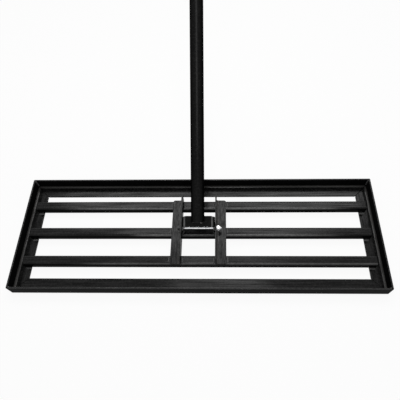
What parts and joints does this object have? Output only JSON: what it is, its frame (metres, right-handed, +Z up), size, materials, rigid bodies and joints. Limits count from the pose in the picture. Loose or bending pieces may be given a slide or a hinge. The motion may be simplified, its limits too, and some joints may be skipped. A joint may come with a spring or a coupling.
{
  "type": "lawn leveling rake",
  "caption": "Lawn leveling rake: wide welded angle-iron frame with square-tube slats, and a long tube handle that tilts on a cross bolt between two uprights.",
  "frame": {"origin": "middle of the head on the ground, where the rake's underside rests", "axes": "+X along the head's working edge, +Y to the back, the way the handle leans, +Z up"},
  "size_m": [0.762, 1.3949, 0.9033],
  "materials": {
    "black_paint": "satin black powder coat on steel, with a fine orange-peel texture",
    "tube_paint": "smooth semi-gloss black paint on steel tube",
    "zinc": "bright zinc-plated steel",
    "nylon": "white nylon",
    "bare_steel": "bare drawn steel tube",
    "black_screw": "black oxide steel",
    "grip_rubber": "matt black rubber",
    "cap_plastic": "moulded black plastic"
  },
  "bodies": {
    "head": {"front_rail": "black_paint", "back_rail": "black_paint", "left_rail": "black_paint", "right_rail": "black_paint", "front_slat": "black_paint", "middle_slat": "black_paint", "back_slat": "black_paint", "left_upright": "black_paint", "right_upright": "black_paint", "corner_welds": "black_paint", "slat_welds": "black_paint", "upright_welds": "black_paint", "pivot_bolt": "zinc", "pivot_nut": "zinc", "nut_insert": "nylon", "pivot_washers": "zinc"},
    "handle": {"handle_bracket": "tube_paint", "bracket_welds": "tube_paint", "lower_tube": "tube_paint", "middle_tube": "tube_paint", "upper_tube": "tube_paint", "lower_sleeve": "bare_steel", "upper_sleeve": "bare_steel", "joint_screws": "black_screw", "grip": "grip_rubber", "end_cap": "cap_plastic"}
  },
  "joints": [
    {"name": "handle_tilt", "type": "hinge", "parent": "head", "child": "handle", "pos_m": [0, 0, 0.04], "axis": [1, 0, 0], "range_deg": [-33, 112]}
  ]
}
